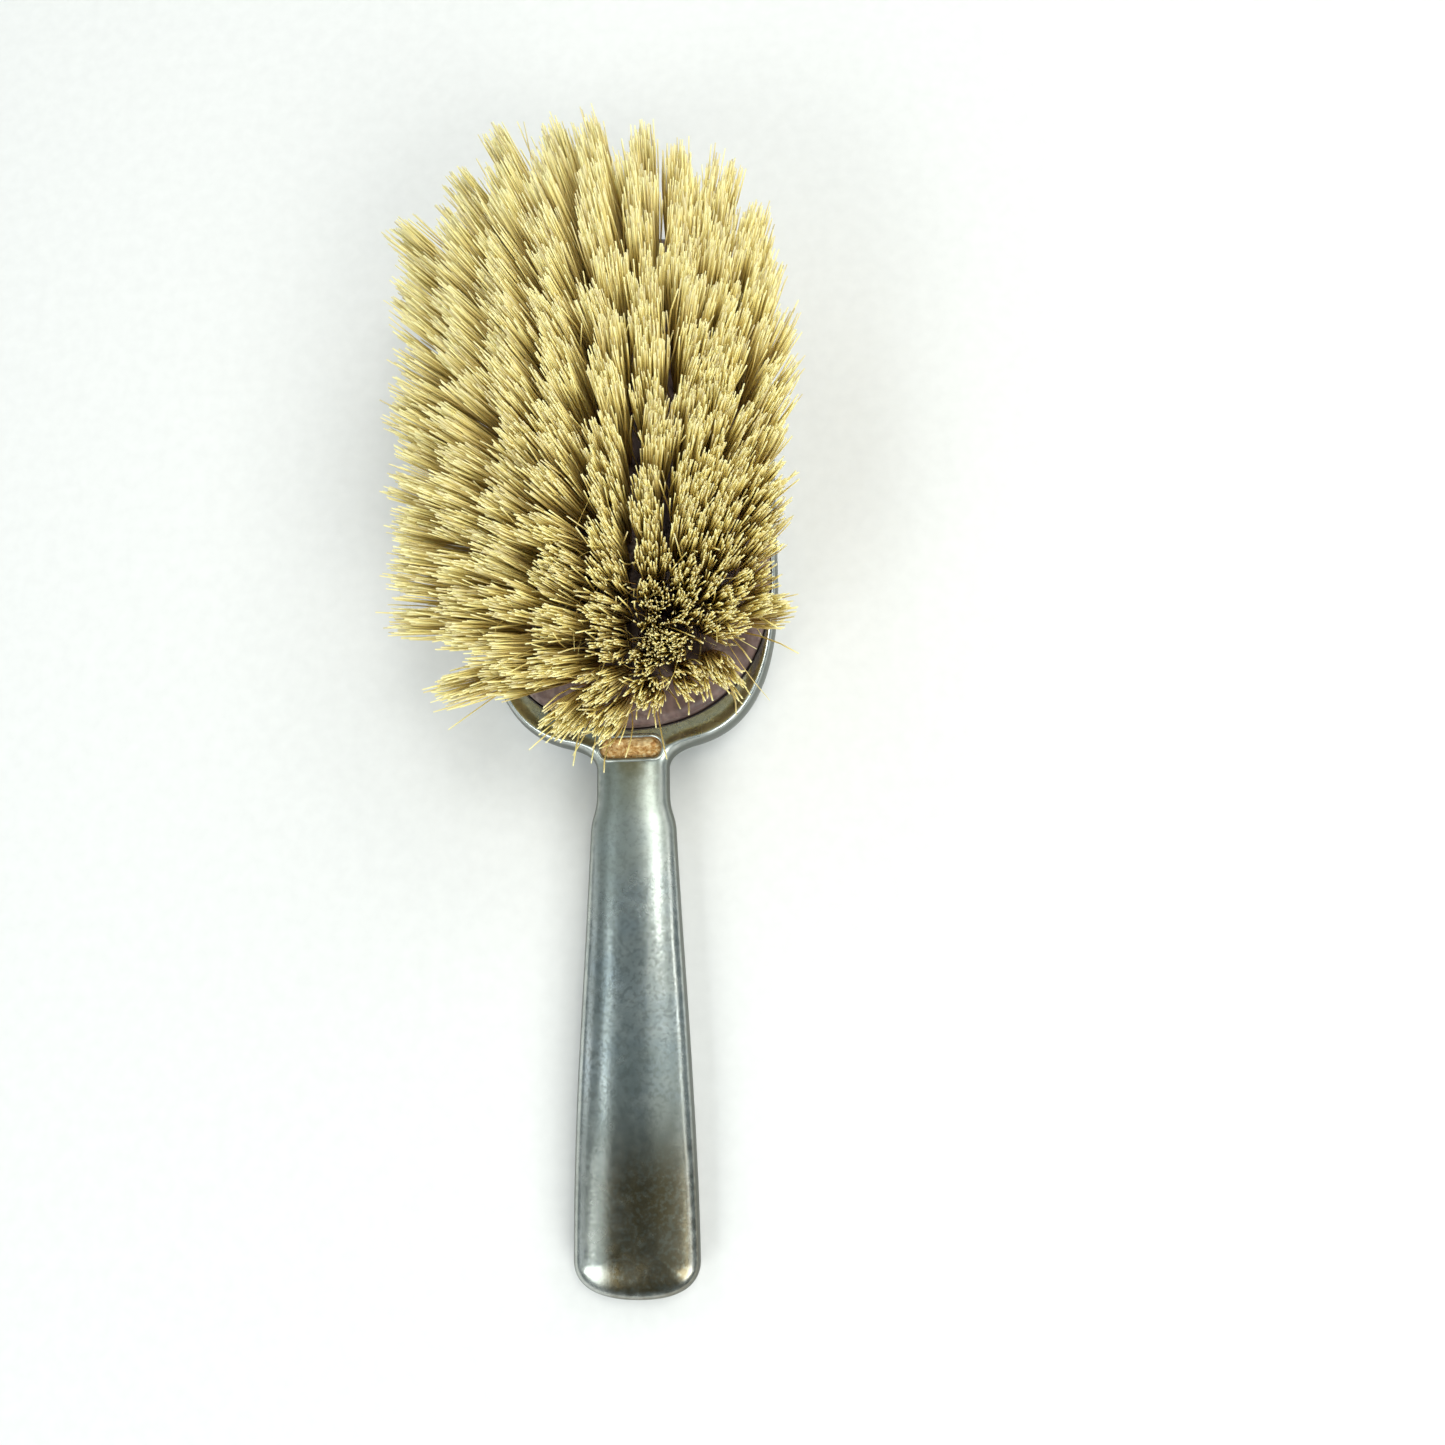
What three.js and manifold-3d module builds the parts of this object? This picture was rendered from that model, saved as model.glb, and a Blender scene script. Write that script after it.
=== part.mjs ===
// Vanity hairbrush: silver shells over a filled handle, with a drilled wooden stock of drawn tufts.
// It lies on its back with the bristles up. +Z is up, +Y runs along the brush from the handle to
// the head, +X is across. The origin is the centre of the head's flat back. Millimetres.

import * as THREE from 'three';
import { mergeVertices } from 'three/addons/utils/BufferGeometryUtils.js';
import Module from 'manifold-3d';

const wasm = await Module();
wasm.setup();

// ---------------------------------------------------------------- Driving dimensions
// Head, seen from above
const headLength = 121;
const headWidth = 65;
const headEndRise = 38; // length of each rounded end, measured along the brush
const headEndFullness = 0.72; // how square a rounded end is across
const headSideFullness = 0.7; // how square a rounded end is along

// Neck and grip, seen from above
const neckOffset = 4; // from the head's near end to the narrowest point of the neck
const neckWidth = 15.8;
const neckRun = 5; // length of the narrowest stretch
const sweepWidth = 28; // where the head's near end turns into the neck
const shoulderWidth = 18.6;
const shoulderRun = 9.5; // length of the step from neck to grip
const gripWidth = 25.8;
const gripLength = 92; // from the shoulder to the end
const gripEndRise = 7.5; // length of the rounded end of the grip

// Heights: each lift is the gap under the handle, above the surface that the brush rests on
const rimDepth = 3.5; // from the top of the rim down to the seam round the head
const neckLift = 2.8;
const neckThickness = 7.8;
const gripLift = 1;
const gripThickness = 9.6;
const endThickness = 8.6;
const seamShare = 0.5; // where the seam lies in the handle's thickness

// Silver sheet
const wall = 0.8;
const panelInset = { head: 10, neck: 4.6, grip: 7.2 }; // from the edge to the flat of the back
const crownInset = { head: 1.2, neck: 5, grip: 8 }; // from the edge to the flat of the front

// Slot in the front shell
const slotLength = 14;
const slotWidth = 5;
const slotRim = 0.8;
const slotRimRise = 0.4;
const slotFillerDrop = 0.2; // below the silver
const slotGap = 0.7; // silver between the slot's rim and the stock

// Wooden stock
const rimWidth = 1.5; // silver round the stock at the sides and the far end
const nearRimWidth = 4.7; // silver between the stock and the head's near end
const stockThickness = 6.8; // at its edge
const stockProud = 1.6; // edge above the rim
const stockBevel = 1.3;
const stockSeat = 1.5; // the underside is this much narrower all round, to sit in the back shell
const stockCrown = 3.6; // flat middle above the edge
const stockSlopeRun = 10; // from the edge to the flat middle
const backingThickness = 2;
const backingInset = 3.2;
const beddingThickness = 3.1; // at the middle, between the back shell and the backing

// Tufts and draw wires
const rowCount = 9;
const rowMargin = 6.2; // from the side of the stock to the outermost row
const rowBow = 0.1; // share of a row's offset that it loses at the ends of the stock
const tuftPitch = 5.8;
const tuftRadius = 1.4;
const tuftExposure = 27.5;
const tuftTipWidth = 5;
const tuftMiddleWidth = 3.4;
const crestShare = 0.45; // share of a tuft's length in which neighbours in a row merge
const tuftMargin = 4.8; // from the edge of the stock to the nearest tuft's root
const splayAcross = 20; // degrees, at the outermost row
const splayAlong = 20; // degrees, at the ends of the rows
const wireRadius = 0.35;
const grooveMargin = 0.5; // groove beyond a tuft hole on each side

// Handle rod
const rodRadius = 1.5;
const rodEndSetback = 14; // from the end of the grip
const rodFarSetback = 1; // from the far end of the handle's filler
const rodDrop = 0.8; // below the middle of the neck

const clearance = 0.3;

// ---------------------------------------------------------------- Places that follow from them
const headEndY = headLength / 2;
const neckY = -headEndY - neckOffset;
const shoulderY = neckY - neckRun - shoulderRun;
const gripEndY = shoulderY - gripLength;
const stockFarY = headEndY - rimWidth;
const stockNearY = -headEndY + nearRimWidth;
const stockHalfWidth = headWidth / 2 - rimWidth;
const beddingTop = wall + clearance + beddingThickness;
const backingFloor = beddingTop + clearance;
const backingTop = backingFloor + backingThickness;
const stockFloor = backingTop + clearance;
const stockEdgeHeight = stockFloor + stockThickness;
const rimHeight = stockEdgeHeight - stockProud;
const headSeamHeight = rimHeight - rimDepth;
const beddingEndY = stockNearY - clearance;
const slotY = beddingEndY - slotGap - slotRim - slotWidth / 2;
const outerRowX = stockHalfWidth - rowMargin;
const rowPitch = (2 * outerRowX) / (rowCount - 1);
const wireHeight = stockFloor + wireRadius;
const steepestSplay = THREE.MathUtils.degToRad(Math.max(splayAcross, splayAlong));
const tuftFloor = wireHeight + wireRadius + clearance + tuftRadius * Math.sin(steepestSplay);
const grooveTop = tuftFloor;
const holeRadius = tuftRadius + clearance;
const grooveWidth = 2 * (holeRadius + grooveMargin);

const rodNearY = gripEndY + rodEndSetback;
const rodFarY = beddingEndY - rodFarSetback;
const rodHeight = neckLift + neckThickness / 2 - rodDrop;
const slotFloor = rodHeight + rodRadius + 2 * clearance;
const reachX = headWidth; // past the sides of everything
const reachZ = stockEdgeHeight + stockCrown; // past the top of all the silver

const backHeights = { head: 0, neck: neckLift, grip: gripLift, end: 0 };
const frontHeights = {
  head: rimHeight,
  neck: neckLift + neckThickness,
  grip: gripLift + gripThickness,
  end: endThickness,
};
const seamHeights = {
  head: headSeamHeight,
  neck: THREE.MathUtils.lerp(backHeights.neck, frontHeights.neck, seamShare),
  grip: THREE.MathUtils.lerp(backHeights.grip, frontHeights.grip, seamShare),
  end: THREE.MathUtils.lerp(backHeights.end, frontHeights.end, seamShare),
};

// ---------------------------------------------------------------- Materials
const silver = new THREE.MeshStandardMaterial({ color: 0x8d9694, roughness: 0.32, metalness: 1 });
const wood = new THREE.MeshStandardMaterial({ color: 0x4a2a29, roughness: 0.6, metalness: 0 });
const boardWood = new THREE.MeshStandardMaterial({ color: 0x8a6a4c, roughness: 0.75, metalness: 0 });
const pitch = new THREE.MeshStandardMaterial({ color: 0xa9702c, roughness: 0.85, metalness: 0 });
const cement = new THREE.MeshStandardMaterial({ color: 0x9c9384, roughness: 0.9, metalness: 0 });
const bristle = new THREE.MeshStandardMaterial({ color: 0xd9c98e, roughness: 0.55, metalness: 0 });
const brass = new THREE.MeshStandardMaterial({ color: 0xb08d3e, roughness: 0.4, metalness: 1 });
const iron = new THREE.MeshStandardMaterial({ color: 0x4b4a48, roughness: 0.6, metalness: 1 });

const brush = new THREE.Group();

// Add one named piece to the brush.
function addPiece(name, geometry, material) {
  const mesh = new THREE.Mesh(geometry, material);
  mesh.name = name;
  brush.add(mesh);
}

// ---------------------------------------------------------------- Solids
// Make a manifold solid from a closed geometry.
function toSolid(geometry) {
  const bare = geometry.clone();
  bare.deleteAttribute('normal');
  bare.deleteAttribute('uv');
  const merged = mergeVertices(bare, 1e-4);
  const mesh = new wasm.Mesh({
    numProp: 3,
    vertProperties: new Float32Array(merged.attributes.position.array),
    triVerts: new Uint32Array(merged.index.array),
  });
  return new wasm.Manifold(mesh);
}

// Turn a manifold solid back into a geometry.
function toGeometry(solid) {
  const mesh = solid.getMesh();
  const geometry = new THREE.BufferGeometry();
  geometry.setAttribute('position', new THREE.BufferAttribute(mesh.vertProperties, mesh.numProp));
  geometry.setIndex(new THREE.BufferAttribute(mesh.triVerts, 1));
  geometry.computeVertexNormals();
  return geometry;
}

// A box between two corners.
function boxBetween(low, high) {
  const size = high.clone().sub(low);
  const box = new THREE.BoxGeometry(size.x, size.y, size.z);
  box.translate((low.x + high.x) / 2, (low.y + high.y) / 2, (low.z + high.z) / 2);
  return toSolid(box);
}

// A closed loop from its right half, which runs from the far end to the near end on the YZ plane.
function mirroredLoop(half) {
  const left = half.slice(1, -1).reverse().map((point) => new THREE.Vector3(-point.x, point.y, point.z));
  return half.concat(left);
}

// The closed solid through a stack of mirrored loops, each with the same number of points.
function loftSolid(halves) {
  const loops = halves.map(mirroredLoop);
  const count = loops[0].length;
  const last = loops.length - 1;
  const index = [];
  for (let level = 0; level < last; level += 1) {
    for (let i = 0; i < count; i += 1) {
      const here = level * count + i;
      const next = level * count + ((i + 1) % count);
      index.push(here, next + count, next);
      index.push(here, here + count, next + count);
    }
  }
  capLoop(index, 0, count, false);
  capLoop(index, last * count, count, true);
  const geometry = new THREE.BufferGeometry();
  geometry.setFromPoints(loops.flat());
  geometry.setIndex(index);
  return toSolid(geometry);
}

// Close a mirrored loop with a strip that joins each point to the one across from it.
function capLoop(index, start, count, facesUp) {
  const addTriangle = (a, b, c) => {
    const corners = facesUp ? [a, c, b] : [a, b, c];
    index.push(...corners.map((corner) => start + corner));
  };
  for (let i = 0; i < count / 2; i += 1) {
    const across = (count - i) % count;
    const nextAcross = count - i - 1;
    if (i + 1 !== nextAcross) {
      addTriangle(i, i + 1, nextAcross);
    }
    if (i !== across) {
      addTriangle(i, nextAcross, across);
    }
  }
}

// ---------------------------------------------------------------- Outline of the silver
// Right half of the outline, from the far end of the head to the end of the grip. The inset moves
// it inwards, by its own amount at the head, the neck and the grip.
function bodyOutline(inset) {
  const halfHead = headWidth / 2 - inset.head;
  const farY = headEndY - inset.head;
  const straightY = headEndY - headEndRise;
  const sweep = new THREE.Vector2(sweepWidth / 2 - 0.2 * inset.head, -headEndY + 1 + inset.head);
  const halfNeck = neckWidth / 2 - inset.neck;
  const halfShoulder = shoulderWidth / 2 - inset.neck;
  const halfGrip = gripWidth / 2 - inset.grip;
  const endY = gripEndY + inset.grip;
  const endRise = Math.max(gripEndRise - 0.5 * inset.grip, 2);
  const sweepLead = 0.57 * (halfHead - sweep.x);
  const neckEndY = neckY - neckRun;

  const path = new THREE.Path();
  path.moveTo(0, farY);
  path.bezierCurveTo(
    headEndFullness * halfHead, farY,
    halfHead, THREE.MathUtils.lerp(straightY, farY, headSideFullness),
    halfHead, straightY,
  );
  path.lineTo(halfHead, -straightY);
  path.bezierCurveTo(
    halfHead, THREE.MathUtils.lerp(-straightY, sweep.y, headSideFullness),
    sweep.x + sweepLead, sweep.y + 0.24 * sweepLead,
    sweep.x, sweep.y,
  );
  path.bezierCurveTo(
    THREE.MathUtils.lerp(sweep.x, halfNeck, 0.65), sweep.y - 1,
    halfNeck, THREE.MathUtils.lerp(neckY, sweep.y, 0.5),
    halfNeck, neckY,
  );
  path.lineTo(halfNeck, neckEndY);
  path.bezierCurveTo(
    halfNeck, neckEndY - shoulderRun / 2,
    halfShoulder, neckEndY - shoulderRun / 2,
    halfShoulder, shoulderY,
  );
  path.bezierCurveTo(
    THREE.MathUtils.lerp(halfShoulder, halfGrip, 0.34), THREE.MathUtils.lerp(shoulderY, endY, 0.3),
    halfGrip, THREE.MathUtils.lerp(shoulderY, endY, 0.62),
    halfGrip, endY + endRise,
  );
  path.bezierCurveTo(
    halfGrip, endY + 0.33 * endRise,
    0.62 * halfGrip, endY,
    0, endY,
  );
  const steps = [7, 1, 7, 5, 1, 4, 4, 6];
  return joinedPoints(path, steps);
}

// Points along a path, with its own number of steps for each curve in it.
function joinedPoints(path, steps) {
  const points = [path.curves[0].getPoint(0)];
  path.curves.forEach((curve, i) => points.push(...curve.getPoints(steps[i]).slice(1)));
  return points;
}

// Height at a place along the brush, from its values at the head, neck, grip and end.
function heightAt(y, heights) {
  const blendY = -headEndY + 16;
  const middleY = (shoulderY + gripEndY) / 2;
  const { smoothstep, lerp } = THREE.MathUtils;
  if (y > neckY) {
    return lerp(heights.neck, heights.head, smoothstep(y, neckY, blendY));
  }
  if (y > middleY) {
    return lerp(heights.grip, heights.neck, smoothstep(y, middleY, neckY));
  }
  return lerp(heights.end, heights.grip, smoothstep(y, gripEndY, middleY));
}

// One level of a shell: turn is 0 at the flat of the back or front and 1 at the seam. The sheet
// moves it inwards, the flat rise moves its flat and the seam rise moves its edge.
function shellLevel(turn, flatInset, flatHeights, sheet, flatRise, seamRise) {
  const angle = (turn * Math.PI) / 2;
  const inwards = 1 - Math.sin(angle);
  const inset = {
    head: sheet + flatInset.head * inwards,
    neck: sheet + flatInset.neck * inwards,
    grip: sheet + flatInset.grip * inwards,
  };
  return bodyOutline(inset).map(({ x, y }) => {
    const flat = heightAt(y, flatHeights) + flatRise;
    const seam = heightAt(y, seamHeights) + seamRise;
    return new THREE.Vector3(x, y, THREE.MathUtils.lerp(seam, flat, Math.cos(angle)));
  });
}

const outerTurns = [0, 0.3, 0.65, 1];
const innerTurns = [0, 0.4, 0.8, 1];

// ---------------------------------------------------------------- Silver shells
function backShell() {
  const outside = outerTurns.map((turn) => shellLevel(turn, panelInset, backHeights, 0, 0, 0));
  const inside = innerTurns.map((turn) => shellLevel(turn, panelInset, backHeights, wall, wall, 0));
  return loftSolid([...outside, ...inside.reverse()]);
}

// Stock outline, right half, moved inwards by an inset.
function stockOutline(inset) {
  const half = stockHalfWidth - inset;
  const farY = stockFarY - inset;
  const nearY = stockNearY + inset;
  const farStraightY = headEndY - headEndRise;
  const { lerp } = THREE.MathUtils;
  const path = new THREE.Path();
  path.moveTo(0, farY);
  path.bezierCurveTo(0.68 * half, farY, half, lerp(farStraightY, farY, 0.7), half, farStraightY);
  path.lineTo(half, -farStraightY);
  path.bezierCurveTo(half, lerp(-farStraightY, nearY, 0.7), 0.56 * half, nearY, 0, nearY);
  return joinedPoints(path, [6, 1, 6]);
}

// A level of the stock's outline at one height.
function stockLevel(inset, height) {
  return stockOutline(inset).map(({ x, y }) => new THREE.Vector3(x, y, height));
}

// Upright prism on the stock's outline.
function stockPrism(inset, floor, top) {
  return loftSolid([stockLevel(inset, floor), stockLevel(inset, top)]);
}

// Upright prism with the slot's rounded outline, grown sideways by a margin.
function slotPrism(margin, floor, top) {
  const radius = slotWidth / 2 + margin;
  const reach = slotLength / 2 - slotWidth / 2;
  const shape = new THREE.Shape();
  shape.absarc(reach, 0, radius, -Math.PI / 2, Math.PI / 2);
  shape.absarc(-reach, 0, radius, Math.PI / 2, (3 * Math.PI) / 2);
  const depth = top - floor;
  const prism = new THREE.ExtrudeGeometry(shape, { depth, bevelEnabled: false, curveSegments: 5 });
  prism.translate(0, slotY, floor);
  return toSolid(prism);
}

function frontShell() {
  const level = (turn, sheet) => shellLevel(turn, crownInset, frontHeights, sheet, -sheet, clearance);
  const inside = innerTurns.map((turn) => level(turn, wall));
  const outside = outerTurns.map((turn) => level(turn, 0));
  const cover = loftSolid([...inside, ...outside.reverse()]);
  const raised = cover.translate([0, 0, slotRimRise]).intersect(slotPrism(slotRim, slotFloor, reachZ));
  return cover
    .add(raised)
    .subtract(stockPrism(-clearance, seamHeights.head, reachZ))
    .subtract(slotPrism(0, slotFloor, reachZ));
}

// ---------------------------------------------------------------- Fillers and rod
// The whole space inside the shells, less a clearance.
function innerSpace() {
  const sheet = wall + clearance;
  const below = innerTurns.map((turn) => shellLevel(turn, panelInset, backHeights, sheet, sheet, 0));
  const above = innerTurns.map((turn) => shellLevel(turn, crownInset, frontHeights, sheet, -sheet, 0));
  return loftSolid([...below, ...above.slice(0, -1).reverse()]);
}

function roundBar(radius, fromY, toY, height) {
  const bar = new THREE.CylinderGeometry(radius, radius, toY - fromY, 12);
  bar.translate(0, (fromY + toY) / 2, height);
  return toSolid(bar);
}

function handleFiller() {
  return innerSpace()
    .intersect(boxBetween(
      new THREE.Vector3(-reachX, gripEndY, -1),
      new THREE.Vector3(reachX, beddingEndY, reachZ),
    ))
    .subtract(roundBar(rodRadius + clearance, rodNearY - clearance, rodFarY + 2, rodHeight))
    .subtract(slotPrism(0, slotFloor, reachZ));
}

function slotFiller() {
  return slotPrism(-clearance, slotFloor + clearance, heightAt(slotY, frontHeights) - slotFillerDrop);
}

function headBedding() {
  return innerSpace()
    .intersect(boxBetween(
      new THREE.Vector3(-reachX, beddingEndY + clearance, -1),
      new THREE.Vector3(reachX, headEndY, beddingTop),
    ));
}

// ---------------------------------------------------------------- Tuft pattern
// Half-width of the stock at a place along it, at an inset.
function stockHalfAt(inset, y) {
  const points = stockOutline(inset);
  for (let i = 1; i < points.length; i += 1) {
    const above = points[i - 1];
    const below = points[i];
    if (y <= above.y && y > below.y) {
      return THREE.MathUtils.mapLinear(y, above.y, below.y, above.x, below.x);
    }
  }
  return 0;
}

const middleY = (stockFarY + stockNearY) / 2;
const halfRun = (stockFarY - stockNearY) / 2;

// Direction of a tuft: upright in the middle and leaning outwards towards the edges.
function tuftDirection(x, y) {
  const across = Math.tan(THREE.MathUtils.degToRad((splayAcross * x) / outerRowX));
  const along = Math.tan(THREE.MathUtils.degToRad((splayAlong * (y - middleY)) / halfRun));
  return new THREE.Vector3(across, along, 1).normalize();
}

// Height of the stock's face, which slopes up from its bevel to a flat middle.
function faceHeight(x, y) {
  const fromEdge = Math.min(stockHalfAt(0, y) - Math.abs(x), stockFarY - y, y - stockNearY);
  const share = THREE.MathUtils.mapLinear(fromEdge, stockBevel, stockSlopeRun, 0, 1);
  return stockEdgeHeight + stockCrown * THREE.MathUtils.clamp(share, 0, 1);
}

// The tufts of one row, near end first. Each has the place of its root and its direction.
function rowTufts(row) {
  const offset = (row - (rowCount - 1) / 2) * rowPitch;
  const stagger = row % 2 === 0 ? 0 : tuftPitch / 2;
  const reach = Math.ceil(halfRun / tuftPitch) + 1;
  const tufts = [];
  for (let step = -reach; step <= reach; step += 1) {
    const y = middleY + step * tuftPitch + stagger;
    const bowed = offset * (1 - rowBow * ((y - middleY) / halfRun) ** 2);
    const inside = y > stockNearY + tuftMargin && y < stockFarY - tuftMargin;
    if (inside && Math.abs(bowed) <= stockHalfAt(tuftMargin, y)) {
      tufts.push({ root: new THREE.Vector3(bowed, y, tuftFloor), direction: tuftDirection(bowed, y) });
    }
  }
  return tufts;
}

// Point on a tuft's axis at a distance along it from the root.
function alongTuft(tuft, distance) {
  return tuft.root.clone().addScaledVector(tuft.direction, distance);
}

// Length of a tuft from its root to its tip.
function tuftLength(tuft) {
  const buried = (faceHeight(tuft.root.x, tuft.root.y) - tuftFloor) / tuft.direction.z;
  return buried + tuftExposure;
}

// A five-sided bar along a tuft's axis.
function tuftBar(tuft, from, to, fromRadius, toRadius) {
  const bar = new THREE.CylinderGeometry(toRadius, fromRadius, to - from, 5);
  const turn = new THREE.Quaternion().setFromUnitVectors(new THREE.Vector3(0, 1, 0), tuft.direction);
  bar.applyQuaternion(turn);
  const middle = alongTuft(tuft, (from + to) / 2);
  bar.translate(middle.x, middle.y, middle.z);
  return toSolid(bar);
}

// ---------------------------------------------------------------- Bristle rows
// Two edge points of a row's crest at one tuft.
function crestEdge(tuft, distance, width) {
  const across = new THREE.Vector3(0, 1, 0).cross(tuft.direction).normalize();
  const centre = alongTuft(tuft, distance);
  return [
    centre.clone().addScaledVector(across, -width / 2),
    centre.clone().addScaledVector(across, width / 2),
  ];
}

// The band in which the tufts of a row spread and merge, from their middle to their tips.
function rowCrest(tufts) {
  const first = { ...tufts[0], root: tufts[0].root.clone() };
  const final = { ...tufts[tufts.length - 1], root: tufts[tufts.length - 1].root.clone() };
  first.root.y -= tuftPitch / 2;
  final.root.y += tuftPitch / 2;
  const points = [];
  const stations = [first, ...tufts.filter((_, i) => i % 2 === 0), final];
  stations.forEach((tuft) => {
    const length = tuftLength(tuft);
    const [lowLeft, lowRight] = crestEdge(tuft, length * (1 - crestShare), tuftMiddleWidth);
    const [highLeft, highRight] = crestEdge(tuft, length, tuftTipWidth);
    points.push(lowLeft, lowRight, highRight, highLeft);
  });
  const sections = points.length / 4;
  const index = [0, 1, 2, 0, 2, 3];
  for (let section = 0; section < sections - 1; section += 1) {
    for (let side = 0; side < 4; side += 1) {
      const here = section * 4 + side;
      const next = section * 4 + ((side + 1) % 4);
      index.push(here, next + 4, next, here, here + 4, next + 4);
    }
  }
  const end = (sections - 1) * 4;
  index.push(end, end + 2, end + 1, end, end + 3, end + 2);
  const geometry = new THREE.BufferGeometry();
  geometry.setFromPoints(points);
  geometry.setIndex(index);
  return toSolid(geometry);
}

function bristleRow(row) {
  const tufts = rowTufts(row);
  const stems = tufts.map((tuft) => {
    const top = tuftLength(tuft) * (1 - crestShare) + 1.5;
    return tuftBar(tuft, 0, top, tuftRadius, tuftRadius);
  });
  return wasm.Manifold.union([rowCrest(tufts), ...stems]).simplify(0.03);
}

// ---------------------------------------------------------------- Draw wires and stock
// The line of a row's wire, which runs past the first and last tufts by an overrun.
function wireCurve(row, overrun) {
  const points = rowTufts(row).map(({ root }) => new THREE.Vector3(root.x, root.y, wireHeight));
  points[0].y -= overrun;
  points[points.length - 1].y += overrun;
  return new THREE.CatmullRomCurve3(points);
}

// The bar that cuts a row's groove. The section's x is up and its y is across.
function grooveBar(row) {
  const low = stockFloor - wireHeight - 1;
  const high = grooveTop - wireHeight;
  const width = grooveWidth;
  const section = new THREE.Shape();
  section.moveTo(low, -width / 2);
  section.lineTo(high, -width / 2);
  section.lineTo(high, width / 2);
  section.lineTo(low, width / 2);
  section.closePath();
  const steps = Math.ceil(rowTufts(row).length / 2);
  const extrudePath = wireCurve(row, holeRadius + grooveMargin);
  return toSolid(new THREE.ExtrudeGeometry(section, { steps, extrudePath }));
}

function drawWire(row) {
  const section = new THREE.Shape();
  section.absarc(0, 0, wireRadius, 0, 2 * Math.PI);
  const steps = Math.ceil(rowTufts(row).length / 2);
  const extrudePath = wireCurve(row, tuftRadius);
  return toSolid(new THREE.ExtrudeGeometry(section, { steps, extrudePath, curveSegments: 3 }));
}

function bristleStock() {
  const board = loftSolid([
    stockLevel(stockSeat, stockFloor),
    stockLevel(0, headSeamHeight),
    stockLevel(0, stockEdgeHeight - stockBevel),
    stockLevel(stockBevel, stockEdgeHeight),
    stockLevel(stockSlopeRun, stockEdgeHeight + stockCrown),
  ]);
  const cuts = [];
  for (let row = 0; row < rowCount; row += 1) {
    rowTufts(row).forEach((tuft) => {
      cuts.push(tuftBar(tuft, -0.4, tuftLength(tuft) - tuftExposure + 4, holeRadius, holeRadius));
    });
    cuts.push(grooveBar(row));
  }
  return board.subtract(wasm.Manifold.union(cuts)).simplify(0.03);
}

// ---------------------------------------------------------------- Assembly
addPiece('back_shell', toGeometry(backShell()), silver);
addPiece('front_shell', toGeometry(frontShell()), silver);
addPiece('handle_filler', toGeometry(handleFiller()), pitch);
addPiece('slot_filler', toGeometry(slotFiller()), pitch);
addPiece('handle_rod', toGeometry(roundBar(rodRadius, rodNearY, rodFarY, rodHeight)), iron);
addPiece('head_bedding', toGeometry(headBedding()), cement);
addPiece('stock_backing', toGeometry(stockPrism(backingInset, backingFloor, backingTop)), boardWood);
addPiece('bristle_stock', toGeometry(bristleStock()), wood);
for (let row = 0; row < rowCount; row += 1) {
  const number = String(row + 1).padStart(2, '0');
  addPiece(`draw_wire_${number}`, toGeometry(drawWire(row)), brass);
  addPiece(`bristle_row_${number}`, toGeometry(bristleRow(row)), bristle);
}

export default brush;
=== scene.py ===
"""Vanity hairbrush: the finished look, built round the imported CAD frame.

The brush lies on its back with the bristles up. +Y runs from the handle to the head and +Z is up.
Sizes below are in millimetres and are turned into metres when a mesh is made.
"""

import math

import bpy
import numpy as np
from mathutils import Matrix, Vector, noise


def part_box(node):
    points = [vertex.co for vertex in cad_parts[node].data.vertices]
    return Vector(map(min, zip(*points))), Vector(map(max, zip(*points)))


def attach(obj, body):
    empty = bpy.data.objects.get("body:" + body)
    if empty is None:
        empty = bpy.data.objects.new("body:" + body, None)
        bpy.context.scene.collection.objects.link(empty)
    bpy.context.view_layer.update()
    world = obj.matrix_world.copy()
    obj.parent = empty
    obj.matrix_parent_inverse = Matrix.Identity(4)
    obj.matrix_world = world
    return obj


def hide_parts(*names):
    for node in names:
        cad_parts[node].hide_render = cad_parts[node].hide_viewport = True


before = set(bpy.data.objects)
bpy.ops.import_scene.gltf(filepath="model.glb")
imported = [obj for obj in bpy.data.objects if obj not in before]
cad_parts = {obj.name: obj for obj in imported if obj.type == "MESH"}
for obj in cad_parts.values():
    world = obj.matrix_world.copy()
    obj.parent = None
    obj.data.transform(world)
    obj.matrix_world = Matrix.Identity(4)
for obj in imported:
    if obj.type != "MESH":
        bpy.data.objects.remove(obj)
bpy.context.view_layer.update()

MM = 0.001
BODY = "root"

# ------------------------------------------------------------------ Sizes, in millimetres
silver_low, silver_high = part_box("back_shell")
stock_low, stock_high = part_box("bristle_stock")

HEAD_END = silver_high.y / MM  # half the head's length
HEAD_HALF = silver_high.x / MM
GRIP_END = silver_low.y / MM
SEAM_HEAD = silver_high.z / MM
STOCK_FAR = stock_high.y / MM
STOCK_NEAR = stock_low.y / MM
STOCK_HALF = stock_high.x / MM
STOCK_TOP = stock_high.z / MM

END_RISE = 38.0  # length of each rounded end of the head
END_FULLNESS = 0.72
SIDE_FULLNESS = 0.7
NECK_OFFSET = 4.0
NECK_HALF = 7.9
NECK_RUN = 5.0
SWEEP_HALF = 14.0
SHOULDER_HALF = 9.3
SHOULDER_RUN = 9.5
GRIP_HALF = 12.9
GRIP_END_RISE = 7.5

STOCK_CROWN = 3.6
STOCK_BEVEL = 1.6
STOCK_EDGE = STOCK_TOP - STOCK_CROWN
STOCK_PROUD = 1.6
RIM_TOP = STOCK_EDGE - STOCK_PROUD
OPENING_GAP = 0.35  # between the wood and the silver

NECK_Y = -HEAD_END - NECK_OFFSET
NECK_END_Y = NECK_Y - NECK_RUN
SHOULDER_Y = NECK_END_Y - SHOULDER_RUN
BLEND_Y = -HEAD_END + 16.0
MIDDLE_Y = (SHOULDER_Y + GRIP_END) / 2
STRAIGHT_Y = HEAD_END - END_RISE

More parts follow.
